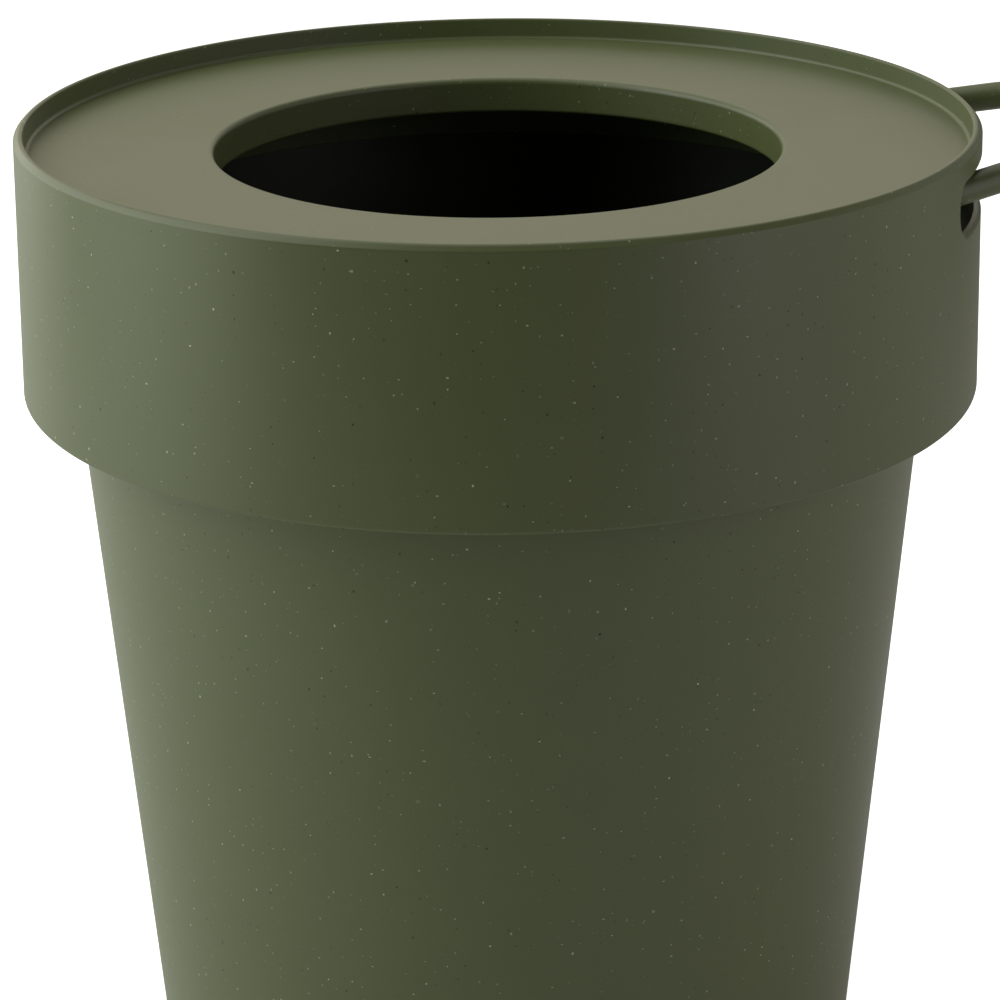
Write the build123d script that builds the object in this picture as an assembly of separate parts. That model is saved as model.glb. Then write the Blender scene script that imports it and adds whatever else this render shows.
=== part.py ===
from build123d import *
import os
from math import cos, hypot, radians, sin, tan

# A round kitchen bin in three moulded pieces: a tapered bucket, a collar lid with a round
# drop opening, and a loop handle that is sprung into the lid through a long opening in the
# collar. Millimetres. The bin stands on Z = 0 about the Z axis, and the loop points to +X.

# Driving dimensions of the whole
BIN_HEIGHT = 310.0  # floor to the lip of the lid
RIM_DEPTH = 26.0  # lip of the lid down to the rim of the bucket

# Driving dimensions of the collar lid
COLLAR_RADIUS = 126.7  # outside, at the lip
COLLAR_HEIGHT = 69.8
COLLAR_DRAFT = 1.1  # degrees, the collar widens downwards
LIP_WALL = 2.5  # the collar above the disc
COLLAR_WALL = 1.9  # the collar below the disc
LIP_ROUND = 1.15
HEM_ROUND = 0.9  # lower edge of the collar
DISC_EDGE_DEPTH = 5.8  # lip down to the disc, beside the wall
DISC_MOUTH_DEPTH = 7.2  # lip down to the disc, beside the opening: it falls gently inwards
DISC_THICKNESS = 2.2
DISC_FILLET = 1.0
DISC_WIDTH = 51.8  # collar's outside to the round opening
MOUTH_ROUND = 1.5
FLANGE_HEIGHT = 9.7  # the turned-down flange of the opening, below the disc
FLANGE_WALL = 2.2
FLANGE_ROUND = 0.9

# Driving dimensions of the ribs under the disc, which stand on the bucket's rim
SEAT_RIB_REACH = 6.0  # below the bucket's rim
SEAT_RIB_WALL = 2.0
SEAT_CLEARANCE = 0.8  # between this rib and the inside of the bucket
RIB_GAP = 113.0  # the rib is left out across the handle's arms
WEB_THICKNESS = 2.0
WEB_ANGLES = (60, 90, 120, 150, 180, 210, 240, 270, 300)  # the handle takes the places left out

# Driving dimensions of the bucket
COLLAR_STANDS_OUT = 14.24  # collar's outside to the bucket's, level with the collar's lower edge
BODY_TAPER = 4.64  # degrees
BUCKET_WALL = 2.3
RIM_WIDTH = 4.0  # how far the rim stands out from the wall
RIM_THICKNESS = 2.2
RIM_SKIRT = 9.0  # depth of the rim's turned-down edge
RIM_ROUND = 0.9
BASE_LIFT = 4.0  # the floor of the bucket above the ground
BASE_THICKNESS = 2.6
FOOT_WIDTH = 5.0
FOOT_ROUND = 1.2
FLOOR_FILLET = 6.0  # inside, between wall and floor

# Driving dimensions of the loop handle
ROD_DIAMETER = 7.6
HINGE_INSET = 19.7  # collar's outside at the lip to the hinge
HINGE_DEPTH = 14.6  # below the lip
ARM_SPREAD = 47.2  # each arm's centre from the middle, at the hinge
ARM_CONVERGENCE = 17.8  # degrees, each arm towards the middle
LOOP_TILT = 9.9  # degrees, up from level
ARM_LENGTH = 36.0  # straight part, measured straight out from the hinge
KNUCKLE_DIAMETER = 9.2
KNUCKLE_INNER = 5.7  # from the arm's centre to the knuckle's face beside the lug
KNUCKLE_OUTER = 4.0
PIN_DIAMETER = 5.2
PIN_CLEARANCE = 0.1
PIN_STANDS_PROUD = 0.6  # beyond the lug
LUG_THICKNESS = 5.0
LUG_WIDTH = 10.4
LUG_CLEARANCE = 0.4  # between lug and knuckle

# Driving dimensions of the opening in the collar, which both arms pass through
SLOT_TOP_DEPTH = 7.2  # below the lip
SLOT_HEIGHT = 13.9
SLOT_HALF_WIDTH = 65.1
SLOT_TOP_ROUND = 5.1  # upper corners
SLOT_LOW_ROUND = 6.9  # lower corners
SLOT_EDGE_ROUND = 1.2

# Levels and radii that follow
mouth_radius = COLLAR_RADIUS - DISC_WIDTH
hinge_x = COLLAR_RADIUS - HINGE_INSET
hem_z = BIN_HEIGHT - COLLAR_HEIGHT
rim_z = BIN_HEIGHT - RIM_DEPTH
disc_edge_z = BIN_HEIGHT - DISC_EDGE_DEPTH
disc_mouth_z = BIN_HEIGHT - DISC_MOUTH_DEPTH
hinge_z = BIN_HEIGHT - HINGE_DEPTH
slot_top_z = BIN_HEIGHT - SLOT_TOP_DEPTH
slot_low_z = slot_top_z - SLOT_HEIGHT
draft = tan(radians(COLLAR_DRAFT))
taper = tan(radians(BODY_TAPER))


def collar_radius(z):
    """Outer radius of the collar at a height."""
    return COLLAR_RADIUS + (BIN_HEIGHT - z) * draft


def body_radius(z):
    """Outer radius of the bucket's wall at a height."""
    return collar_radius(hem_z) - COLLAR_STANDS_OUT + (z - hem_z) * taper


def disc_z(radius):
    """Height of the disc's upper face, which falls from the collar to the opening."""
    share = (radius - mouth_radius) / (COLLAR_RADIUS - LIP_WALL - mouth_radius)
    return disc_mouth_z + share * (disc_edge_z - disc_mouth_z)


def distance_from_axis(edge):
    return hypot(edge.center().X, edge.center().Y)


def rounded_face(corners):
    """A flat face from its corners, each one a place across, a height and a rounding."""
    face = make_face(Polyline(*[(across, z) for across, z, rounding in corners], close=True).edges())
    for across, z, rounding in corners:
        if rounding:
            corner = face.vertices().sort_by_distance((across, z, 0))[0]
            face = fillet(corner, rounding)
    return face


def ring(corners):
    """Turn a profile about the axis, with its seam at the back. A corner is a radius, a height
    and its rounding."""
    return Rot(0, 0, 180) * revolve(Plane.XZ * rounded_face(corners), Axis.Z)


def cylinder_y(radius, y_from, y_to, x, z):
    """A pin or boss along Y."""
    length = abs(y_to - y_from)
    middle = (y_from + y_to) / 2
    return Pos(x, middle, z) * Rot(90, 0, 0) * Cylinder(radius, length)


def bucket():
    inner = BUCKET_WALL / cos(radians(BODY_TAPER))
    skirt_z = rim_z - RIM_SKIRT
    rim_radius = body_radius(rim_z) + RIM_WIDTH
    under_rim_z = rim_z - RIM_THICKNESS
    floor_z = BASE_LIFT + BASE_THICKNESS
    foot_inner = body_radius(0) - FOOT_WIDTH
    return ring([
        (0, BASE_LIFT, 0),
        (foot_inner, BASE_LIFT, FOOT_ROUND),
        (foot_inner, 0, FOOT_ROUND),
        (body_radius(0), 0, FOOT_ROUND),
        (body_radius(under_rim_z), under_rim_z, 0),
        (rim_radius - RIM_THICKNESS, under_rim_z, 0),
        (rim_radius - RIM_THICKNESS, skirt_z, RIM_ROUND),
        (rim_radius, skirt_z, RIM_ROUND),
        (rim_radius, rim_z, RIM_ROUND),
        (body_radius(rim_z) - inner, rim_z, RIM_ROUND),
        (body_radius(floor_z) - inner, floor_z, FLOOR_FILLET),
        (0, floor_z, 0),
    ])


def lid_shell():
    """Lip, collar, disc and flange, moulded in one."""
    inside_lip = COLLAR_RADIUS - LIP_WALL
    under_disc_z = disc_edge_z - DISC_THICKNESS
    flange_z = disc_mouth_z - FLANGE_HEIGHT
    flange_outer = mouth_radius + FLANGE_WALL
    return ring([
        (COLLAR_RADIUS, BIN_HEIGHT, LIP_ROUND),
        (collar_radius(hem_z), hem_z, HEM_ROUND),
        (collar_radius(hem_z) - COLLAR_WALL, hem_z, HEM_ROUND),
        (collar_radius(under_disc_z) - COLLAR_WALL, under_disc_z, 0),
        (flange_outer, disc_mouth_z - DISC_THICKNESS, MOUTH_ROUND),
        (flange_outer, flange_z, FLANGE_ROUND),
        (mouth_radius, flange_z, FLANGE_ROUND),
        (mouth_radius, disc_mouth_z, MOUTH_ROUND),
        (inside_lip - DISC_EDGE_DEPTH * draft, disc_edge_z, DISC_FILLET),
        (inside_lip, BIN_HEIGHT, LIP_ROUND),
    ])


def lid_ribs():
    """The locating rib inside the bucket's mouth, and the webs that stand on its rim."""
    rib_outer = body_radius(rim_z) - BUCKET_WALL - SEAT_CLEARANCE
    rib_inner = rib_outer - SEAT_RIB_WALL
    rib_bottom = rim_z - SEAT_RIB_REACH
    rib_height = disc_z(rib_inner) - DISC_THICKNESS / 2 - rib_bottom
    rib = Pos(0, 0, rib_bottom) * extrude(Circle(rib_outer) - Circle(rib_inner), rib_height)
    handle_room = Pos(hinge_x, 0, rim_z) * Box(2 * HINGE_INSET, RIB_GAP, 2 * RIM_DEPTH)
    ribs = rib - handle_room
    web_top = disc_z(rib_inner) - DISC_THICKNESS / 2
    web_length = COLLAR_RADIUS - COLLAR_WALL / 2 - rib_inner
    web = Pos(rib_inner + web_length / 2, 0, (web_top + rim_z) / 2) * Box(
        web_length, WEB_THICKNESS, web_top - rim_z)
    for angle in WEB_ANGLES:
        ribs += Rot(0, 0, angle) * web
    return ribs


def handle_lug(side):
    """One bearing lug, which hangs from the disc inside an arm."""
    outer_y = ARM_SPREAD - KNUCKLE_INNER - LUG_CLEARANCE
    inner_y = outer_y - LUG_THICKNESS
    top_z = disc_z(hinge_x) - DISC_THICKNESS / 2
    plate = Pos(hinge_x, side * (outer_y + inner_y) / 2, (top_z + hinge_z) / 2) * Box(
        LUG_WIDTH, LUG_THICKNESS, top_z - hinge_z)
    plate += cylinder_y(LUG_WIDTH / 2, side * inner_y, side * outer_y, hinge_x, hinge_z)
    bore = cylinder_y(PIN_DIAMETER / 2 + PIN_CLEARANCE, 0, side * ARM_SPREAD, hinge_x, hinge_z)
    return plate - bore


def pierced_shell():
    """The shell with the handle's opening cut through the collar only, its outer edge rounded."""
    shell = lid_shell()
    clear_of_collar = collar_radius(hem_z) + COLLAR_WALL
    collar_only = ring([
        (COLLAR_RADIUS - LIP_WALL, hem_z, 0),
        (clear_of_collar, hem_z, 0),
        (clear_of_collar, BIN_HEIGHT, 0),
        (COLLAR_RADIUS - LIP_WALL, BIN_HEIGHT, 0),
    ])
    outline = rounded_face([
        (-SLOT_HALF_WIDTH, slot_top_z, SLOT_TOP_ROUND),
        (SLOT_HALF_WIDTH, slot_top_z, SLOT_TOP_ROUND),
        (SLOT_HALF_WIDTH, slot_low_z, SLOT_LOW_ROUND),
        (-SLOT_HALF_WIDTH, slot_low_z, SLOT_LOW_ROUND),
    ])
    shell -= extrude(Plane.YZ * outline, clear_of_collar) & collar_only
    outer_edges = [
        edge for edge in shell.edges()
        if slot_low_z - COLLAR_WALL / 2 < edge.center().Z < slot_top_z + COLLAR_WALL / 2
        and distance_from_axis(edge) > collar_radius(edge.center().Z) - COLLAR_WALL / 2
    ]
    return fillet(outer_edges, SLOT_EDGE_ROUND)


def collar_lid():
    lid = pierced_shell() + lid_ribs()
    for side in (1, -1):
        lid += handle_lug(side)
    return lid


def loop_handle():
    """The loop lies in a plane that is tilted about the hinge."""
    half_angle = radians(ARM_CONVERGENCE)
    end_y = ARM_SPREAD - ARM_LENGTH * tan(half_angle)
    bow = end_y / cos(half_angle)
    apex_x = ARM_LENGTH - bow * sin(half_angle) + bow
    path = (
        Line((0, ARM_SPREAD), (ARM_LENGTH, end_y))
        + ThreePointArc((ARM_LENGTH, end_y), (apex_x, 0), (ARM_LENGTH, -end_y))
        + Line((ARM_LENGTH, -end_y), (0, -ARM_SPREAD))
    )
    start = path.edges()[0]
    section = Plane(origin=(0, ARM_SPREAD, 0), z_dir=start % 0) * Circle(ROD_DIAMETER / 2)
    loop = sweep(section, path)
    for side in (1, -1):
        knuckle_in = side * (ARM_SPREAD - KNUCKLE_INNER)
        knuckle_out = side * (ARM_SPREAD + KNUCKLE_OUTER)
        pin_end = knuckle_in - side * (LUG_CLEARANCE + LUG_THICKNESS + PIN_STANDS_PROUD)
        loop += cylinder_y(KNUCKLE_DIAMETER / 2, knuckle_in, knuckle_out, 0, 0)
        loop += cylinder_y(PIN_DIAMETER / 2, pin_end, knuckle_in, 0, 0)
    return Pos(hinge_x, 0, hinge_z) * Rot(0, -LOOP_TILT, 0) * loop


os.makedirs("parts", exist_ok=True)
export_step(bucket(), "parts/bucket.step")
export_step(collar_lid(), "parts/collar_lid.step")
export_step(loop_handle(), "parts/loop_handle.step")
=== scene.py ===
from math import cos, pi, radians, sin, sqrt, tan

import bmesh
import bpy
from mathutils import Matrix, Vector


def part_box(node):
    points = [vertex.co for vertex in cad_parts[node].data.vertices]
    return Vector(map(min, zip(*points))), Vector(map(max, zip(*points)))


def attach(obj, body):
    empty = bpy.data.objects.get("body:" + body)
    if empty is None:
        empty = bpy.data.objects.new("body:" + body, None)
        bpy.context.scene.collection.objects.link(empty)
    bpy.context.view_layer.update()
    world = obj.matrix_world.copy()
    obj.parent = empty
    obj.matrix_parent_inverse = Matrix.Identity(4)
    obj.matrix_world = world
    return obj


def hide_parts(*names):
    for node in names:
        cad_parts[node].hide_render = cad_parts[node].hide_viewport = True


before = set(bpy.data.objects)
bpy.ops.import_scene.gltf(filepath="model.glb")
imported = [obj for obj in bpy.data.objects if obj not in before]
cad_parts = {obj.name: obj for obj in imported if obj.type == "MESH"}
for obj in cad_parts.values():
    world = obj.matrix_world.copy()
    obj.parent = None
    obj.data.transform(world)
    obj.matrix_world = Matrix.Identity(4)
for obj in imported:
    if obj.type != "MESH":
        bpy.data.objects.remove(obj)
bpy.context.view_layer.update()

# A round kitchen bin in speckled olive plastic: a tapered bucket, a collar lid with a round
# drop opening, and a loop handle sprung into the lid. Metres. The loop points to +X.

MM = 0.001

# Camera, fitted to the ellipses of the lip, the opening and the collar's lower edge
VIEW_TURN = radians(6.5)  # the bin is turned so that the loop points a little away from the camera
CAMERA_DISTANCE = 0.819  # from the bin's axis, level
CAMERA_ABOVE_LIP = 0.19516
CAMERA_PITCH = radians(20.323)  # looking down
CAMERA_ROLL = radians(0.62)
CAMERA_PAN = radians(0.03)
CAMERA_LENS_MM = 114.12
CAMERA_SENSOR_MM = 36.0

# Collar lid; its height, lower edge and lip come from the frame
COLLAR_DRAFT = radians(1.1)  # the collar widens downwards
LIP_WALL = 2.5 * MM  # the collar above the disc
COLLAR_WALL = 1.9 * MM  # the collar below the disc
LIP_SLOPE_WIDTH = 1.3 * MM  # the lip's crown slopes down to an edge on the outside
LIP_SLOPE_DEPTH = 1.4 * MM
LIP_CROWN_ROUND = 1.2 * MM  # between the crown's flat and its slope
LIP_EDGE_ROUND = 0.35 * MM
LIP_INNER_ROUND = 0.6 * MM
HEM_ROUND = 0.9 * MM
DISC_EDGE_DEPTH = 5.8 * MM  # lip down to the disc, beside the wall
DISC_MOUTH_DEPTH = 7.2 * MM  # lip down to the disc, beside the opening
DISC_THICKNESS = 2.2 * MM
DISC_FILLET = 1.0 * MM
DISC_WIDTH = 51.8 * MM  # collar's outside to the round opening
MOUTH_ROUND = 1.5 * MM
FLANGE_HEIGHT = 9.7 * MM
FLANGE_WALL = 2.2 * MM
FLANGE_ROUND = 0.9 * MM
CREASE_ROUND = 0.4 * MM  # in the corners that the mould leaves nearly sharp

# Ribs under the disc
SEAT_RIB_REACH = 6.0 * MM
SEAT_RIB_WALL = 2.0 * MM
SEAT_CLEARANCE = 0.8 * MM
RIB_GAP = 113.0 * MM
WEB_THICKNESS = 2.0 * MM
WEB_ANGLES = (60, 90, 120, 150, 180, 210, 240, 270, 300)
RIB_EDGE_ROUND = 0.3 * MM
WEB_EDGE_SEGMENTS = 2

# Bucket; its height and rim come from the frame
BODY_TAPER = radians(4.64)
BUCKET_WALL = 2.3 * MM
RIM_WIDTH = 4.0 * MM
RIM_THICKNESS = 2.2 * MM
RIM_SKIRT = 9.0 * MM
RIM_ROUND = 0.9 * MM
BASE_LIFT = 4.0 * MM
BASE_THICKNESS = 2.6 * MM
FOOT_WIDTH = 5.0 * MM
FOOT_ROUND = 1.2 * MM
FLOOR_FILLET = 6.0 * MM

# Opening in the collar, which both of the handle's arms pass through
SLOT_TOP_DEPTH = 7.2 * MM
SLOT_HEIGHT = 13.9 * MM
SLOT_HALF_WIDTH = 65.1 * MM
SLOT_TOP_ROUND = 5.1 * MM
SLOT_LOW_ROUND = 6.9 * MM
SLOT_EDGE_ROUND = 1.2 * MM

# Loop handle
ROD_DIAMETER = 7.6 * MM
HINGE_INSET = 19.7 * MM
HINGE_DEPTH = 14.6 * MM
ARM_SPREAD = 47.2 * MM
ARM_CONVERGENCE = radians(17.8)
LOOP_TILT = radians(9.9)
ARM_LENGTH = 36.0 * MM
KNUCKLE_DIAMETER = 9.2 * MM
KNUCKLE_INNER = 5.7 * MM
KNUCKLE_OUTER = 4.0 * MM
KNUCKLE_ROUND = 0.6 * MM
PIN_DIAMETER = 5.2 * MM
PIN_CLEARANCE = 0.1 * MM
PIN_STANDS_PROUD = 0.6 * MM
LUG_THICKNESS = 5.0 * MM
LUG_WIDTH = 10.4 * MM
LUG_CLEARANCE = 0.4 * MM

# How finely the meshes follow their curves
FACETS_ROUND = 288
FACETS_ROD = 48
FACETS_LOOP = 72
ARC_STEP = radians(10)
HOLD = 0.25 * MM  # an edge this far beyond a rounding keeps the flat beside it flat
HELD_STRAIGHT = 4 * HOLD  # a shorter straight gets no such edges
MERGE = 0.001 * MM
RAIL_RADIUS = 1.0 * MM
SLOT_STEP = 3.0 * MM  # along the opening's edges
FLARE_STEPS = 8
FLARE_END = radians(80)  # a little short of the collar's own slope, so that the cut stays clean

# Levels and radii from the frame
lid_low, lid_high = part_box("collar_lid")
bucket_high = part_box("bucket")[1]
lip_z = lid_high.z
hem_z = lid_low.z
rim_z = bucket_high.z
hem_radius = lid_high.y
collar_top_radius = hem_radius - (lip_z - hem_z) * tan(COLLAR_DRAFT)
rim_radius = bucket_high.y
mouth_radius = collar_top_radius - DISC_WIDTH
disc_edge_z = lip_z - DISC_EDGE_DEPTH
disc_mouth_z = lip_z - DISC_MOUTH_DEPTH
hinge_x = collar_top_radius - HINGE_INSET
hinge_z = lip_z - HINGE_DEPTH

# Plastic: colours are sRGB parts of 1
OLIVE = (0.357, 0.392, 0.235)
OLIVE_VARIES = 0.025  # part of the colour, up and down in soft clouds
PALE_FLECK = (0.74, 0.77, 0.68)
FAINT_FLECK = (0.45, 0.52, 0.38)
DARK_FLECK = (0.06, 0.07, 0.05)
FLECK_EDGE = 0.08 * MM  # how softly a fleck ends
FLECK_WOBBLE = 0.06 * MM  # how far its outline strays
WOBBLE_DETAIL = 1.0
FLECK_SIZES_LEAN = 3.0  # higher: more small flecks for each large one
FLECK_STRENGTHS_LEAN = 1.5  # higher: more faint flecks for each strong one
FAINTEST_FLECK = 0.12
# Each kind: stretch, spacing, smallest and largest radius, all in its own pattern
UPRIGHT_FLECKS = ((1.0, 1.0, 0.72), 1.75 * MM, 0.06 * MM, 0.30 * MM)
LEVEL_FLECKS = ((0.72, 0.72, 1.1), 1.9 * MM, 0.06 * MM, 0.30 * MM)
LARGE_FAINT_FLECKS = ((0.9, 0.9, 1.1), 6.0 * MM, 0.10 * MM, 0.60 * MM)
DARK_FLECKS = ((0.95, 0.95, 0.80), 1.75 * MM, 0.07 * MM, 0.33 * MM)
DISC_FLECKS_SHOW = 0.3  # the disc's face is denser and shows less of them
DISC_FADE = 1.0 * MM  # where the disc's finish runs into the lip's
INSIDE_PAINTED_SHADE = 0.45  # painted shade: the bucket's inside takes this part of its outside's colour
WALL_FADE = BUCKET_WALL / 4  # within the wall, where the painted shade fades between inside and outside
BASE_FADE = 1.0 * MM  # within the base, where the painted shade fades between inside and underside
PLASTIC_ROUGHNESS = 0.40
ROUGHNESS_VARIES = 0.06
PLASTIC_IOR = 1.5
NOISE_MIDDLE = 0.5  # the value that a noise strays from
NOISE_SWING = 0.25  # and about how far
NOISE_ROUGHNESS = 0.6
GRAIN_SCALE = 2600.0  # per metre
GRAIN_DETAIL = 2.0
GRAIN_SHARE = 0.6  # of the relief; the clouds make the rest
GRAIN_DEPTH = 0.05 * MM
GRAIN_STRENGTH = 0.10
CLOUD_SCALE = 38.0
CLOUD_DETAIL = 3.0

# Studio
WHITE = (1.0, 1.0, 1.0, 1.0)
ROOM_IN_REFLECTIONS = 0.3
ROOM_STARTS = 0.1  # how far back a reflection points before it shows white
ROOM_FADE = 0.5
FLOOR_COLOUR = (0.86, 0.86, 0.85, 1.0)
FLOOR_HALF_WIDTH = 40.0
FLOOR_GLOW_NEAR = 0.72  # what the camera sees of the floor beside the bin, before the lamps' light
FLOOR_GLOW_FAR = 1.0
FLOOR_NEAR_RADIUS = 0.20
FLOOR_FAR_RADIUS = 0.75

# Each lamp: place, the point that it faces, width, height, power in watts, colour
LAMPS = {
    "left_softbox": ((-1.1, -0.1, 0.45), (0, 0, 0.2), 0.9, 1.1, 6.78, (0.95, 1.0, 0.97)),
    "left_back_softbox": ((-0.8, 0.85, 0.5), (0, 0, 0.2), 0.8, 1.0, 3.52, (0.99, 1.0, 0.97)),
    "left_high_softbox": ((-0.8, 0.1, 1.1), (0, 0, 0.25), 0.9, 0.9, 5.32, (0.97, 1.0, 0.98)),
    "right_softbox": ((1.1, 0.0, 0.45), (0, 0, 0.2), 0.9, 1.1, 1.76, (1.0, 0.96, 0.89)),
    "right_front_softbox": ((0.85, -0.75, 0.5), (0, 0, 0.2), 0.7, 1.0, 2.69, (0.92, 0.87, 1.0)),
    "overhead_softbox": ((0.0, 0.3, 1.35), (0, 0, 0.25), 1.1, 1.1, 3.83, (1.0, 0.96, 0.95)),
    "back_softbox": ((0.0, 1.35, 0.7), (0, 0, 0.2), 1.6, 1.0, 3.08, (1.0, 0.84, 0.68)),
}


def linear(srgb, share=1.0):
    """A colour written as sRGB, or a share of it, as the shaders take it."""
    parts = [part * share for part in srgb]
    return (*(c / 12.92 if c <= 0.04045 else ((c + 0.055) / 1.055) ** 2.4 for c in parts), 1.0)


class Level:
    """A value that changes over the surface. Sums on it add Math nodes to its finish."""

    def __init__(self, finish, socket):
        self.finish = finish
        self.socket = socket

    def beside(self, name):
        """Another output of the same node."""
        return Level(self.finish, self.socket.node.outputs[name])

    def __add__(self, other):
        return self.finish.maths("ADD", self, other)

    def __sub__(self, other):
        return self.finish.maths("SUBTRACT", self, other)

    def __rsub__(self, other):
        return self.finish.maths("SUBTRACT", other, self)

    def __mul__(self, other):
        return self.finish.maths("MULTIPLY", self, other)

    def __pow__(self, power):
        return self.finish.maths("POWER", self, power)

    __radd__ = __add__
    __rmul__ = __mul__


class Finish:
    """The nodes of a material, a world or a shape, added one at a time."""

    def __init__(self, tree):
        self.tree = tree
        self.tree.nodes.clear()

    def add(self, kind, settings, *values, out=0, **named):
        """Any node: its type, its settings, and its sockets in order or by name."""
        node = self.tree.nodes.new(kind)
        for setting, value in settings.items():
            setattr(node, setting, value)
        sockets = list(zip(node.inputs, values))
        sockets += [(node.inputs[name.replace("_", " ")], value) for name, value in named.items()]
        for socket, value in sockets:
            if isinstance(value, Level):
                self.tree.links.new(value.socket, socket)
            elif value is not None:
                socket.default_value = value
        return Level(self, node.outputs[out])

    def maths(self, operation, *values):
        return self.add("ShaderNodeMath", {"operation": operation}, *values)

    def vector(self, operation, *values):
        return self.add("ShaderNodeVectorMath", {"operation": operation}, *values)

    def mask(self, depth, fade):
        """0 where depth is below 0, rising to 1 where it reaches fade."""
        return self.add("ShaderNodeClamp", {}, depth * (1 / fade), 0.0, 1.0)

    def mix(self, share, first, second):
        """Two colours mixed. The node's sockets for numbers and vectors are passed over."""
        skipped = [None] * 5
        return self.add("ShaderNodeMix", {"data_type": "RGBA"}, share, *skipped, first, second, out=2)

    def end(self, kind, socket, last):
        """The tree's last node, which takes what was made."""
        node = self.tree.nodes.new(kind)
        self.tree.links.new(last.socket, node.inputs[socket])


def flecks(finish, place, stretch, spacing, smallest, largest):
    """Scattered specks of several sizes and strengths: how much of its colour shows at a place."""
    drawn = finish.vector("MULTIPLY", place, stretch)
    distance = finish.add("ShaderNodeTexVoronoi", {"voronoi_dimensions": "3D", "feature": "F1"},
                          Vector=drawn, Scale=1 / spacing)
    size = finish.add("ShaderNodeSeparateColor", {}, distance.beside("Color"))
    strength = size.beside("Green") ** FLECK_STRENGTHS_LEAN
    radius = size ** FLECK_SIZES_LEAN * ((largest - smallest) / spacing) + smallest / spacing
    inside = finish.mask(radius - distance, FLECK_EDGE / spacing)
    return inside * (strength * (1 - FAINTEST_FLECK) + FAINTEST_FLECK)


def height_and_reach(finish, place):
    """How high a place is, and how far from the bin's axis."""
    height = finish.add("ShaderNodeSeparateXYZ", {}, place).beside("Z")
    flat = finish.vector("MULTIPLY", place, (1.0, 1.0, 0.0))
    return height, finish.vector("LENGTH", flat).beside("Value")


def on_disc(finish, place):
    """1 on the disc inside the lip, 0 elsewhere on the bin."""
    height, reach = height_and_reach(finish, place)
    high = finish.mask(height - (disc_mouth_z - DISC_FADE), DISC_FADE)
    return high * finish.mask(collar_top_radius - LIP_WALL - reach, DISC_FADE)


def painted_shade_mask(finish, place):
    """Where the painted shade goes: 1 on the bucket's inner wall and floor, 0 outside its wall."""
    height, reach = height_and_reach(finish, place)
    middle_of_wall = height * tan(BODY_TAPER) + (body_radius(0) - BUCKET_WALL / 2)
    above = finish.mask(height - (BASE_LIFT + BASE_THICKNESS / 2), BASE_FADE)
    return finish.mask(middle_of_wall - reach, WALL_FADE) * above


def speckled_plastic(name, painted_shade_inside=False):
    """An even olive body with pale and dark specks and a fine moulded grain, and where asked, painted
    shade on the bucket's inside.
    """
    material = bpy.data.materials.new(name)
    material.use_nodes = True
    finish = Finish(material.node_tree)
    place = finish.add("ShaderNodeTexCoord", {}).beside("Object")
    noise = {"noise_dimensions": "3D"}
    wobble = finish.add("ShaderNodeTexNoise", noise, Vector=place, Scale=GRAIN_SCALE,
                        Detail=WOBBLE_DETAIL)
    centred = finish.vector("SUBTRACT", wobble.beside("Color"), (NOISE_MIDDLE,) * 3)
    strays = finish.vector("MULTIPLY", centred, (FLECK_WOBBLE / NOISE_SWING,) * 3)
    ragged = finish.vector("ADD", place, strays)
    cloud = finish.add("ShaderNodeTexNoise", noise, Vector=place, Scale=CLOUD_SCALE,
                       Detail=CLOUD_DETAIL, Roughness=NOISE_ROUGHNESS)
    grain = finish.add("ShaderNodeTexNoise", noise, Vector=place, Scale=GRAIN_SCALE,
                       Detail=GRAIN_DETAIL, Roughness=NOISE_ROUGHNESS)

    shows = 1 - on_disc(finish, place) * (1 - DISC_FLECKS_SHOW)
    body = finish.mix(cloud, linear(OLIVE, 1 - OLIVE_VARIES), linear(OLIVE, 1 + OLIVE_VARIES))
    body = finish.mix(flecks(finish, ragged, *LARGE_FAINT_FLECKS) * shows, body, linear(FAINT_FLECK))
    body = finish.mix(flecks(finish, ragged, *DARK_FLECKS) * shows, body, linear(DARK_FLECK))
    for kind in (UPRIGHT_FLECKS, LEVEL_FLECKS):
        body = finish.mix(flecks(finish, ragged, *kind) * shows, body, linear(PALE_FLECK))
    # painted shade: the bucket's inner wall and floor are darkened in their colour, because little light
    # reaches them
    if painted_shade_inside:
        body = finish.mix(painted_shade_mask(finish, place), body, linear(OLIVE, INSIDE_PAINTED_SHADE))
    rough = (cloud + grain - 2 * NOISE_MIDDLE) * ROUGHNESS_VARIES + PLASTIC_ROUGHNESS
    relief = grain * GRAIN_SHARE + cloud * (1 - GRAIN_SHARE)
    bump = finish.add("ShaderNodeBump", {}, Strength=GRAIN_STRENGTH, Distance=GRAIN_DEPTH, Height=relief)
    plastic = finish.add("ShaderNodeBsdfPrincipled", {}, Base_Color=body, Roughness=rough,
                         Normal=bump, IOR=PLASTIC_IOR)
    finish.end("ShaderNodeOutputMaterial", "Surface", plastic)
    return material


def body_radius(z):
    """Outer radius of the bucket's wall at a height."""
    return rim_radius - RIM_WIDTH + (z - rim_z) * tan(BODY_TAPER)


def collar_radius(z):
    """Outer radius of the collar at a height."""
    return collar_top_radius + (lip_z - z) * tan(COLLAR_DRAFT)


def disc_z(radius):
    """Height of the disc's upper face, which falls from the collar to the opening."""
    share = (radius - mouth_radius) / (collar_top_radius - LIP_WALL - mouth_radius)
    return disc_mouth_z + share * (disc_edge_z - disc_mouth_z)


def rounded_corner(before, corner, after, rounding):
    """The points of one rounded corner."""
    to_before = (before - corner).normalized()
    to_after = (after - corner).normalized()
    opening = to_before.angle(to_after)
    reach = rounding / tan(opening / 2)
    centre = corner + (to_before + to_after).normalized() * (rounding / sin(opening / 2))
    first_spoke = corner + to_before * reach - centre
    last_spoke = corner + to_after * reach - centre
    turn = first_spoke.angle_signed(last_spoke)
    steps = max(2, round(abs(turn) / ARC_STEP))
    arc = []
    for step in range(steps + 1):
        spoke = first_spoke.copy()
        spoke.rotate(Matrix.Rotation(-turn * step / steps, 2))
        arc.append(centre + spoke)
    return arc


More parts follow.
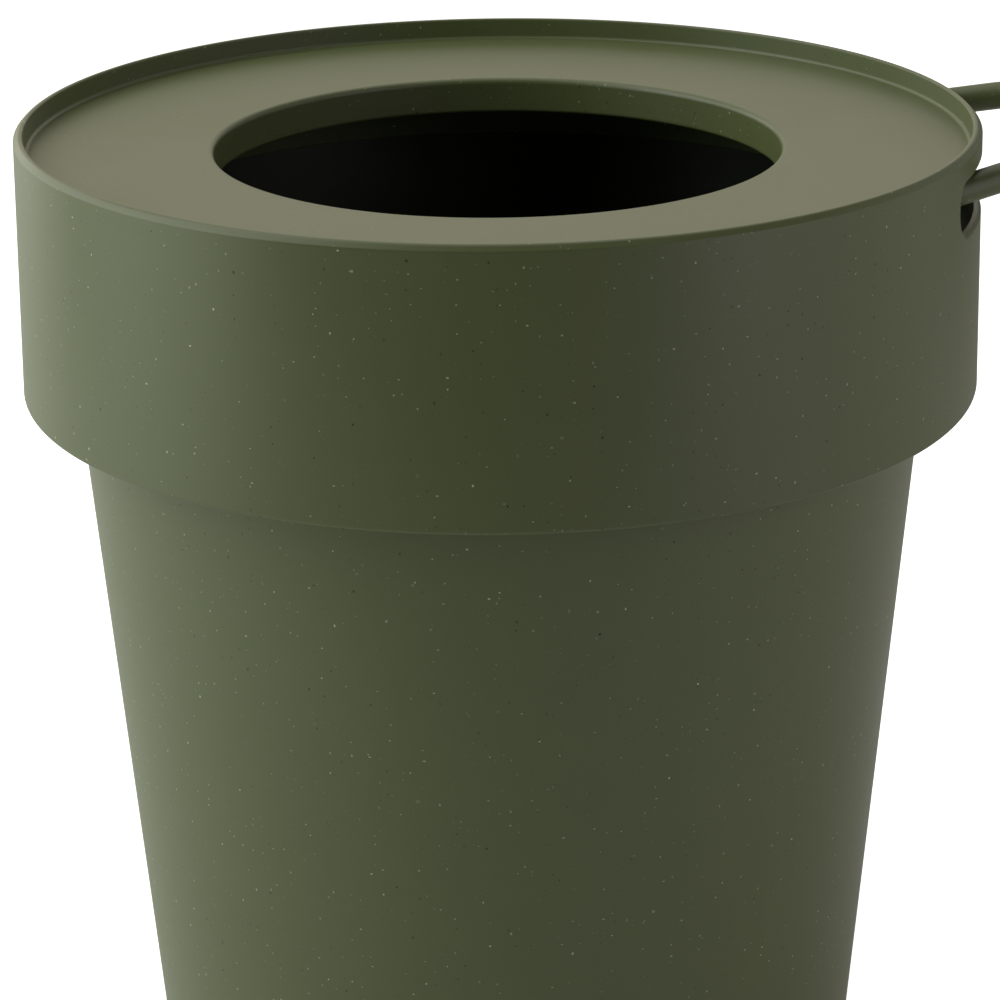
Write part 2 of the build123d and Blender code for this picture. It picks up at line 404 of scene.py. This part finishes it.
def rounded_outline(corners, closed=True):
    """The points of an outline, with a holding point on each straight beside its roundings.
    A corner is a place across, a height and a rounding."""
    places = [Vector(corner[:2]) for corner in corners]
    arcs = []
    for index, corner in enumerate(corners):
        rounding = corner[2]
        after = places[(index + 1) % len(corners)]
        if rounding:
            arcs.append(rounded_corner(places[index - 1], places[index], after, rounding))
        else:
            arcs.append([places[index]])
    points = []
    for index, arc in enumerate(arcs):
        points += arc
        straight = arcs[(index + 1) % len(arcs)][0] - arc[-1]
        is_last = index == len(arcs) - 1
        if straight.length > HELD_STRAIGHT and (closed or not is_last):
            hold = straight.normalized() * HOLD
            points += [arc[-1] + hold, arc[-1] + straight - hold]
    return points


def outline_mesh(name, points, closed):
    """A line of edges, drawn in X and Y."""
    mesh = bpy.data.meshes.new(name)
    edges = [(index, index + 1) for index in range(len(points) - 1)]
    if closed:
        edges.append((len(points) - 1, 0))
    mesh.from_pydata([tuple(point.resized(3)) for point in points], edges, [])
    return mesh


def shape_tree(name, sizes):
    """An empty tree of Geometry Nodes with the line or points that it starts from, and named sizes."""
    group = bpy.data.node_groups.new(name, "GeometryNodeTree")
    group.interface.new_socket("Start", in_out="INPUT", socket_type="NodeSocketGeometry")
    for size, kind in sizes.items():
        group.interface.new_socket(size, in_out="INPUT", socket_type=kind)
    group.interface.new_socket("Piece", in_out="OUTPUT", socket_type="NodeSocketGeometry")
    tree = Finish(group)
    given = group.nodes.new("NodeGroupInput")
    inputs = {socket.name: Level(tree, socket) for socket in given.outputs if socket.name}
    return tree, inputs


def close_tree(tree, shape, plastic):
    """Every tree ends alike: real geometry, smooth, in its plastic."""
    smooth = tree.add("GeometryNodeSetShadeSmooth", {}, shape)
    real = tree.add("GeometryNodeRealizeInstances", {}, smooth)
    tree.end("NodeGroupOutput", "Piece", tree.add("GeometryNodeSetMaterial", {}, real, Material=plastic))
    return tree.tree


def turned_tree():
    """A profile swept round the axis; what it leaves at the poles is merged."""
    tree, given = shape_tree("turned_piece", {
        "Rail radius": "NodeSocketFloat",
        "Facets round": "NodeSocketInt",
        "Merge distance": "NodeSocketFloat",
        "Plastic": "NodeSocketMaterial",
    })
    profile = tree.add("GeometryNodeMeshToCurve", {}, given["Start"])
    rail = tree.add("GeometryNodeCurvePrimitiveCircle", {"mode": "RADIUS"},
                    Resolution=given["Facets round"], Radius=given["Rail radius"])
    swept = tree.add("GeometryNodeCurveToMesh", {}, Curve=rail, Profile_Curve=profile)
    merged = tree.add("GeometryNodeMergeByDistance", {}, Geometry=swept,
                      Distance=given["Merge distance"])
    return close_tree(tree, merged, given["Plastic"])


def rod_tree():
    """A round rod along a line, closed at its ends."""
    tree, given = shape_tree("rod", {
        "Rod radius": "NodeSocketFloat",
        "Facets round": "NodeSocketInt",
        "Plastic": "NodeSocketMaterial",
    })
    route = tree.add("GeometryNodeMeshToCurve", {}, given["Start"])
    section = tree.add("GeometryNodeCurvePrimitiveCircle", {"mode": "RADIUS"},
                       Resolution=given["Facets round"], Radius=given["Rod radius"])
    rod = tree.add("GeometryNodeCurveToMesh", {}, Curve=route, Profile_Curve=section, Fill_Caps=True)
    return close_tree(tree, rod, given["Plastic"])


def web_tree():
    """One upright web at each point of the ring, turned to face the axis."""
    tree, given = shape_tree("rim_webs", {
        "Length": "NodeSocketFloat",
        "Thickness": "NodeSocketFloat",
        "Height": "NodeSocketFloat",
        "Plastic": "NodeSocketMaterial",
    })
    size = tree.add("ShaderNodeCombineXYZ", {}, given["Length"], given["Thickness"], given["Height"])
    web = tree.add("GeometryNodeMeshCube", {}, Size=size)
    across = tree.add("ShaderNodeSeparateXYZ", {}, tree.add("GeometryNodeInputPosition", {}))
    angle = tree.maths("ARCTAN2", across.beside("Y"), across)
    turn = tree.add("ShaderNodeCombineXYZ", {}, 0.0, 0.0, angle)
    facing = tree.add("FunctionNodeEulerToRotation", {}, turn)
    webs = tree.add("GeometryNodeInstanceOnPoints", {}, Points=given["Start"], Instance=web,
                    Rotation=facing)
    return close_tree(tree, webs, given["Plastic"])


def plain_mesh(obj):
    """The object's modifiers worked into its mesh and taken off."""
    depsgraph = bpy.context.evaluated_depsgraph_get()
    mesh = bpy.data.meshes.new_from_object(obj.evaluated_get(depsgraph), depsgraph=depsgraph)
    obj.modifiers.clear()
    obj.data = mesh
    return obj


def new_object(name, data):
    obj = bpy.data.objects.new(name, data)
    bpy.context.scene.collection.objects.link(obj)
    return obj


def grown(name, mesh, tree, sizes):
    """A piece made by a tree of Geometry Nodes from its line or points."""
    obj = new_object(name, mesh)
    modifier = obj.modifiers.new("shape", "NODES")
    modifier.node_group = tree
    for item in tree.interface.items_tree:
        if item.name in sizes:
            modifier[item.identifier] = sizes[item.name]
    return plain_mesh(obj)


def turned(name, outline, closed, facets, plastic):
    """A turned piece. The profile hangs on a thin rail round the axis, which takes its Y downwards."""
    hung = [Vector((point.x - RAIL_RADIUS, -point.y)) for point in outline]
    return grown(name, outline_mesh(name, hung, closed), turned_piece, {
        "Rail radius": RAIL_RADIUS,
        "Facets round": facets,
        "Merge distance": MERGE,
        "Plastic": plastic,
    })


def tidy_faces(obj):
    """Doubles merged and faces turned outwards."""
    shape = bmesh.new()
    shape.from_mesh(obj.data)
    bmesh.ops.remove_doubles(shape, verts=shape.verts, dist=MERGE)
    bmesh.ops.recalc_face_normals(shape, faces=shape.faces)
    shape.to_mesh(obj.data)
    shape.free()
    return obj


def combine(obj, other, operation):
    """obj cut by other, or fused with it. The edges where they meet are kept crisp."""
    plastic = obj.data.materials[0]
    obj.data.materials.append(plastic)
    other.data.materials.clear()
    other.data.materials.append(plastic)
    other.data.materials.append(plastic)
    other.data.polygons.foreach_set("material_index", [1] * len(other.data.polygons))
    modifier = obj.modifiers.new("combine", "BOOLEAN")
    modifier.operation = operation
    modifier.solver = "EXACT"
    modifier.object = other
    plain_mesh(obj)
    bpy.data.objects.remove(other)
    shape = bmesh.new()
    shape.from_mesh(obj.data)
    for edge in shape.edges:
        if len({face.material_index for face in edge.link_faces}) > 1:
            edge.smooth = False
    for face in shape.faces:
        face.smooth = True
        face.material_index = 0
    shape.to_mesh(obj.data)
    shape.free()
    obj.data.materials.pop(index=1)
    return obj


def bucket_shell(plastic):
    inner = BUCKET_WALL / cos(BODY_TAPER)
    skirt_z = rim_z - RIM_SKIRT
    under_rim_z = rim_z - RIM_THICKNESS
    floor_z = BASE_LIFT + BASE_THICKNESS
    foot_inner = body_radius(0) - FOOT_WIDTH
    outline = rounded_outline([
        (0, BASE_LIFT, 0),
        (foot_inner, BASE_LIFT, FOOT_ROUND),
        (foot_inner, 0, FOOT_ROUND),
        (body_radius(0), 0, FOOT_ROUND),
        (body_radius(under_rim_z), under_rim_z, CREASE_ROUND),
        (rim_radius - RIM_THICKNESS, under_rim_z, CREASE_ROUND),
        (rim_radius - RIM_THICKNESS, skirt_z, RIM_ROUND),
        (rim_radius, skirt_z, RIM_ROUND),
        (rim_radius, rim_z, RIM_ROUND),
        (body_radius(rim_z) - inner, rim_z, RIM_ROUND),
        (body_radius(floor_z) - inner, floor_z, FLOOR_FILLET),
        (0, floor_z, 0),
    ], closed=False)
    return tidy_faces(turned("bucket_shell", outline, False, FACETS_ROUND, plastic))


def slot_edges():
    """The opening's upper and lower edge, left to right: places across Y and up Z."""
    top_z = lip_z - SLOT_TOP_DEPTH
    low_z = top_z - SLOT_HEIGHT
    straight = SLOT_HALF_WIDTH - SLOT_LOW_ROUND
    count = round(2 * straight / SLOT_STEP)
    quarter = round(pi / 2 / ARC_STEP)
    corner = [SLOT_HALF_WIDTH - SLOT_LOW_ROUND * (1 - cos(step * ARC_STEP)) for step in range(quarter)]
    across = [-y for y in corner] + [straight * (2 * step / count - 1) for step in range(count + 1)]
    across += corner[::-1]
    upper, lower = [], []
    for y in across:
        into_top = max(0.0, abs(y) - SLOT_HALF_WIDTH + SLOT_TOP_ROUND)
        into_low = max(0.0, abs(y) - SLOT_HALF_WIDTH + SLOT_LOW_ROUND)
        upper.append(Vector((y, top_z - SLOT_TOP_ROUND + sqrt(SLOT_TOP_ROUND ** 2 - into_top ** 2))))
        lower.append(Vector((y, low_z + SLOT_LOW_ROUND - sqrt(SLOT_LOW_ROUND ** 2 - into_low ** 2))))
    return upper, lower


def slot_cutter():
    """What is cut away for the opening: straight through the wall, flaring at the collar's outside."""
    upper, lower = slot_edges()
    outline = upper + lower[::-1]
    count = len(outline)
    inside_radius = collar_top_radius - LIP_WALL
    points = [(sqrt(inside_radius ** 2 - point.x ** 2), point.x, point.y) for point in outline]
    rings = []  # each ring: how far the outline grows, and how deep it lies below the outside
    for step in range(FLARE_STEPS + 1):
        angle = FLARE_END * step / FLARE_STEPS
        rings.append((SLOT_EDGE_ROUND * (1 - cos(angle)), SLOT_EDGE_ROUND * (1 - sin(angle))))
    # and one clear of the collar, a little wider still
    rings.append((SLOT_EDGE_ROUND * (1 - cos(FLARE_END)) + COLLAR_WALL / 4, -COLLAR_WALL))
    for growth, depth in rings:
        for index, point in enumerate(outline):
            along = outline[(index + 1) % count] - outline[index - 1]
            place = point + Vector((-along.y, along.x)).normalized() * growth
            outside_x = sqrt(collar_radius(place.y) ** 2 - place.x ** 2)
            points.append((outside_x - depth, place.x, place.y))
    last = len(rings) * count
    faces = []
    for index in range(len(upper) - 1):
        below = count - 1 - index
        faces.append((index, index + 1, below - 1, below))
        faces.append((last + below, last + below - 1, last + index + 1, last + index))
    for low in range(0, last, count):
        for index in range(count):
            after = (index + 1) % count
            faces.append((low + index, low + count + index, low + count + after, low + after))
    mesh = bpy.data.meshes.new("slot_cutter")
    mesh.from_pydata(points, [], faces)
    return new_object("slot_cutter", mesh)


def collar_shell(plastic):
    """Lip, collar, disc and flange, with the opening for the handle."""
    inside_lip = collar_top_radius - LIP_WALL
    lip_edge_z = lip_z - LIP_SLOPE_DEPTH
    under_disc_z = disc_edge_z - DISC_THICKNESS
    flange_z = disc_mouth_z - FLANGE_HEIGHT
    flange_outer = mouth_radius + FLANGE_WALL
    outline = rounded_outline([
        (collar_top_radius - LIP_SLOPE_WIDTH, lip_z, LIP_CROWN_ROUND),
        (collar_radius(lip_edge_z), lip_edge_z, LIP_EDGE_ROUND),
        (collar_radius(hem_z), hem_z, HEM_ROUND),
        (collar_radius(hem_z) - COLLAR_WALL, hem_z, HEM_ROUND),
        (collar_radius(under_disc_z) - COLLAR_WALL, under_disc_z, CREASE_ROUND),
        (flange_outer, disc_mouth_z - DISC_THICKNESS, MOUTH_ROUND),
        (flange_outer, flange_z, FLANGE_ROUND),
        (mouth_radius, flange_z, FLANGE_ROUND),
        (mouth_radius, disc_mouth_z, MOUTH_ROUND),
        (inside_lip - DISC_EDGE_DEPTH * tan(COLLAR_DRAFT), disc_edge_z, DISC_FILLET),
        (inside_lip, lip_z, LIP_INNER_ROUND),
    ])
    shell = tidy_faces(turned("collar_shell", outline, True, FACETS_ROUND, plastic))
    return combine(shell, slot_cutter(), "DIFFERENCE")


def seat_rib(plastic):
    """The rib that sits inside the bucket's mouth, open across the handle's arms."""
    outer = body_radius(rim_z) - BUCKET_WALL - SEAT_CLEARANCE
    inner = outer - SEAT_RIB_WALL
    bottom_z = rim_z - SEAT_RIB_REACH
    top_z = disc_z(inner) - DISC_THICKNESS / 2
    outline = rounded_outline([
        (inner, bottom_z, RIB_EDGE_ROUND),
        (inner, top_z, RIB_EDGE_ROUND),
        (outer, top_z, RIB_EDGE_ROUND),
        (outer, bottom_z, RIB_EDGE_ROUND),
    ])
    rib = tidy_faces(turned("seat_rib", outline, True, FACETS_ROUND, plastic))
    room = bmesh.new()
    bmesh.ops.create_cube(room, size=1.0)
    bmesh.ops.scale(room, verts=room.verts, vec=(2 * HINGE_INSET, RIB_GAP, 2 * (lip_z - bottom_z)))
    bmesh.ops.translate(room, verts=room.verts, vec=(hinge_x, 0, rim_z))
    mesh = bpy.data.meshes.new("handle_room")
    room.to_mesh(mesh)
    room.free()
    return combine(rib, new_object("handle_room", mesh), "DIFFERENCE")


def rim_webs(plastic):
    """Webs between the rib and the collar, which stand on the bucket's rim."""
    outer = body_radius(rim_z) - BUCKET_WALL - SEAT_CLEARANCE
    inner = outer - SEAT_RIB_WALL
    top_z = disc_z(inner) - DISC_THICKNESS / 2
    length = collar_top_radius - COLLAR_WALL / 2 - inner
    middle = inner + length / 2
    mesh = bpy.data.meshes.new("rim_webs")
    mesh.from_pydata([
        (middle * cos(radians(angle)), middle * sin(radians(angle)), (top_z + rim_z) / 2)
        for angle in WEB_ANGLES
    ], [], [])
    webs = grown("rim_webs", mesh, web_tree(), {
        "Length": length,
        "Thickness": WEB_THICKNESS,
        "Height": top_z - rim_z,
        "Plastic": plastic,
    })
    bevel = webs.modifiers.new("edges", "BEVEL")
    bevel.width = RIB_EDGE_ROUND
    bevel.segments = WEB_EDGE_SEGMENTS
    return plain_mesh(webs)


def handle_lugs(plastic):
    """Two lugs that hang from the disc, each with a bore for the handle's pin."""
    shape = bmesh.new()
    top_z = disc_z(hinge_x) - DISC_THICKNESS / 2
    bore = PIN_DIAMETER / 2 + PIN_CLEARANCE
    half = LUG_WIDTH / 2
    outer_y = ARM_SPREAD - KNUCKLE_INNER - LUG_CLEARANCE
    for side in (1, -1):
        loops = []
        for y in (outer_y, outer_y - LUG_THICKNESS):
            edge, hole = [], []
            for step in range(FACETS_ROD):
                angle = 2 * pi * step / FACETS_ROD
                across, up = cos(angle), sin(angle)
                reach = half if up < 0 else half / max(abs(across), half * up / (top_z - hinge_z))
                reach = min(reach, sqrt(half ** 2 + (top_z - hinge_z) ** 2))
                edge.append(shape.verts.new((hinge_x + reach * across, side * y, hinge_z + reach * up)))
                hole.append(shape.verts.new((hinge_x + bore * across, side * y, hinge_z + bore * up)))
            loops += [edge, hole]
        outer_edge, outer_hole, inner_edge, inner_hole = loops
        for first, second in ((outer_edge, outer_hole), (inner_hole, inner_edge),
                              (inner_edge, outer_edge), (outer_hole, inner_hole)):
            for index in range(FACETS_ROD):
                after = (index + 1) % FACETS_ROD
                shape.faces.new((first[index], first[after], second[after], second[index]))
    bmesh.ops.recalc_face_normals(shape, faces=shape.faces)
    mesh = bpy.data.meshes.new("handle_lugs")
    shape.to_mesh(mesh)
    shape.free()
    mesh.materials.append(plastic)
    return new_object("handle_lugs", mesh)


def in_loop_plane(along, across):
    """A point of the handle's tilted plane; along is measured from the hinge."""
    return (hinge_x + along * cos(LOOP_TILT), across, hinge_z + along * sin(LOOP_TILT))


def loop_route():
    """Straight arm, round bow, straight arm, in the handle's own plane."""
    end_y = ARM_SPREAD - ARM_LENGTH * tan(ARM_CONVERGENCE)
    bow = end_y / cos(ARM_CONVERGENCE)
    centre = ARM_LENGTH - bow * sin(ARM_CONVERGENCE)
    start = pi / 2 - ARM_CONVERGENCE
    route = [(0.0, ARM_SPREAD)]
    for step in range(FACETS_LOOP + 1):
        angle = start - 2 * start * step / FACETS_LOOP
        route.append((centre + bow * cos(angle), bow * sin(angle)))
    route.append((0.0, -ARM_SPREAD))
    return [in_loop_plane(along, across) for along, across in route]


def knuckle(side, plastic):
    """The arm's end: a round boss with the pin that turns in the lug."""
    boss_in = ARM_SPREAD - KNUCKLE_INNER
    boss_out = ARM_SPREAD + KNUCKLE_OUTER
    pin_end = boss_in - LUG_CLEARANCE - LUG_THICKNESS - PIN_STANDS_PROUD
    outline = rounded_outline([
        (0, pin_end, 0),
        (PIN_DIAMETER / 2, pin_end, KNUCKLE_ROUND),
        (PIN_DIAMETER / 2, boss_in, CREASE_ROUND / 2),
        (KNUCKLE_DIAMETER / 2, boss_in, KNUCKLE_ROUND),
        (KNUCKLE_DIAMETER / 2, boss_out, KNUCKLE_ROUND),
        (0, boss_out, 0),
    ], closed=False)
    boss = turned("knuckle", outline, False, FACETS_ROD, plastic)
    place = Matrix.Translation((hinge_x, 0, hinge_z)) @ Matrix.Rotation(-side * pi / 2, 4, "X")
    boss.data.transform(place)
    return tidy_faces(boss)


def handle_loop(plastic):
    route = loop_route()
    mesh = bpy.data.meshes.new("handle_loop")
    mesh.from_pydata(route, [(index, index + 1) for index in range(len(route) - 1)], [])
    loop = grown("handle_loop", mesh, rod_tree(), {
        "Rod radius": ROD_DIAMETER / 2,
        "Facets round": FACETS_ROD,
        "Plastic": plastic,
    })
    tidy_faces(loop)
    for side in (1, -1):
        combine(loop, knuckle(side, plastic), "UNION")
    return loop


def point_at(obj, place, target):
    obj.location = place
    obj.rotation_euler = (Vector(target) - Vector(place)).to_track_quat("-Z", "Y").to_euler()


def studio_lamps():
    for name, (place, target, width, height, power, colour) in LAMPS.items():
        lamp = bpy.data.lights.new(name, "AREA")
        lamp.shape = "RECTANGLE"
        lamp.size = width
        lamp.size_y = height
        lamp.energy = power
        lamp.color = colour
        point_at(new_object(name, lamp), place, target)


def studio_world():
    """White to the camera and through glass, and a quieter white behind the bin for reflections."""
    world = bpy.data.worlds.new("studio")
    world.use_nodes = True
    bpy.context.scene.world = world
    room = Finish(world.node_tree)
    seen = room.add("ShaderNodeLightPath", {})
    direction = room.add("ShaderNodeTexCoord", {})
    behind = room.add("ShaderNodeSeparateXYZ", {}, direction).beside("Y")
    mirrored = room.mask(behind - ROOM_STARTS, ROOM_FADE) * ROOM_IN_REFLECTIONS
    strength = room.maths("MAXIMUM", seen + seen.beside("Is Transmission Ray"),
                          seen.beside("Is Glossy Ray") * mirrored)
    room.end("ShaderNodeOutputWorld", "Surface", room.add("ShaderNodeBackground", {}, WHITE, strength))


def studio_floor():
    """A pale floor that shows the bin's shadow close by and runs off into white."""
    half = FLOOR_HALF_WIDTH
    mesh = bpy.data.meshes.new("floor")
    mesh.from_pydata([(-half, -half, 0), (half, -half, 0), (half, half, 0), (-half, half, 0)], [],
                     [(0, 1, 2, 3)])
    material = bpy.data.materials.new("floor_paper")
    material.use_nodes = True
    paper = Finish(material.node_tree)
    place = paper.add("ShaderNodeTexCoord", {}).beside("Object")
    reach = paper.vector("LENGTH", place).beside("Value")
    share = paper.add("ShaderNodeMapRange", {"interpolation_type": "SMOOTHSTEP"}, reach,
                      FLOOR_NEAR_RADIUS, FLOOR_FAR_RADIUS, FLOOR_GLOW_NEAR, FLOOR_GLOW_FAR)
    seen = paper.add("ShaderNodeLightPath", {})
    glow = paper.add("ShaderNodeEmission", {}, WHITE, share * seen)
    matt = paper.add("ShaderNodeBsdfDiffuse", {}, FLOOR_COLOUR)
    both = paper.add("ShaderNodeAddShader", {}, matt, glow)
    paper.end("ShaderNodeOutputMaterial", "Surface", both)
    mesh.materials.append(material)
    floor = new_object("floor", mesh)


def camera():
    """At the photograph's viewing angle."""
    turn = Matrix.Rotation(-VIEW_TURN, 4, "Z")
    place = turn @ Vector((0, -CAMERA_DISTANCE, lip_z + CAMERA_ABOVE_LIP))
    data = bpy.data.cameras.new("camera")
    data.lens = CAMERA_LENS_MM
    data.sensor_width = CAMERA_SENSOR_MM
    holder = new_object("camera", data)
    holder.matrix_world = (
        Matrix.Translation(place)
        @ Matrix.Rotation(CAMERA_PAN - VIEW_TURN, 4, "Z")
        @ Matrix.Rotation(pi / 2 - CAMERA_PITCH, 4, "X")
        @ Matrix.Rotation(-CAMERA_ROLL, 4, "Z")
    )
    bpy.context.scene.camera = holder


bpy.context.scene.view_settings.view_transform = "Standard"
camera()
studio_lamps()
studio_world()
studio_floor()

turned_piece = turned_tree()
bucket_plastic = speckled_plastic("bucket_plastic", painted_shade_inside=True)
lid_plastic = speckled_plastic("lid_plastic")
handle_plastic = speckled_plastic("handle_plastic")
pieces = (
    (bucket_shell(bucket_plastic), "bucket", "bucket_plastic", "bucket"),
    (collar_shell(lid_plastic), "lid", "lid_plastic", "collar_lid"),
    (seat_rib(lid_plastic), "lid", "lid_plastic", None),
    (rim_webs(lid_plastic), "lid", "lid_plastic", None),
    (handle_lugs(lid_plastic), "lid", "lid_plastic", None),
    (handle_loop(handle_plastic), "handle", "handle_plastic", "loop_handle"),
)
for piece, body, slot, node in pieces:
    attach(piece, body)
    if node:
        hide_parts(node)
